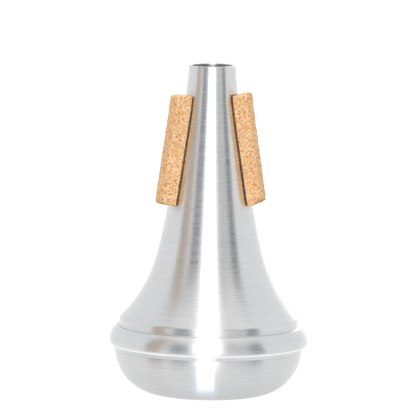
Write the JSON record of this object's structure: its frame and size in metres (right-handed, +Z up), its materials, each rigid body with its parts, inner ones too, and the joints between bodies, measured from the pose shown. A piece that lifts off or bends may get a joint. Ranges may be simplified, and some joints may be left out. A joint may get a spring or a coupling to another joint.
{
  "type": "piccolo trumpet straight mute",
  "caption": "Spun aluminium straight mute for a piccolo trumpet: an open neck flaring to a beaded foot, a bowl-shaped closed bottom, and cork strips that grip the bell.",
  "frame": {"origin": "centre of the flat base that the mute stands on", "axes": "+Z up the mute's axis, from the closed base to the open mouth; the side of the neck without a cork strip faces -Y, with one strip to each side of it and one behind at +Y"},
  "size_m": [0.07, 0.07, 0.1166],
  "materials": {
    "body_aluminium": "satin, turned with fine lines round the axis",
    "cap_aluminium": "satin, turned with fine lines round the axis",
    "cork": "cut agglomerated cork, matt",
    "cement": "dried contact cement",
    "sealant": "matt grey sealant"
  },
  "bodies": {
    "root": {"body_shell": "body_aluminium", "bottom_cap": "cap_aluminium", "seam_sealant": "sealant", "cork_strip_left": "cork", "cork_strip_right": "cork", "cork_strip_rear": "cork", "cork_cement_left": "cement", "cork_cement_right": "cement", "cork_cement_rear": "cement"}
  },
  "joints": []
}
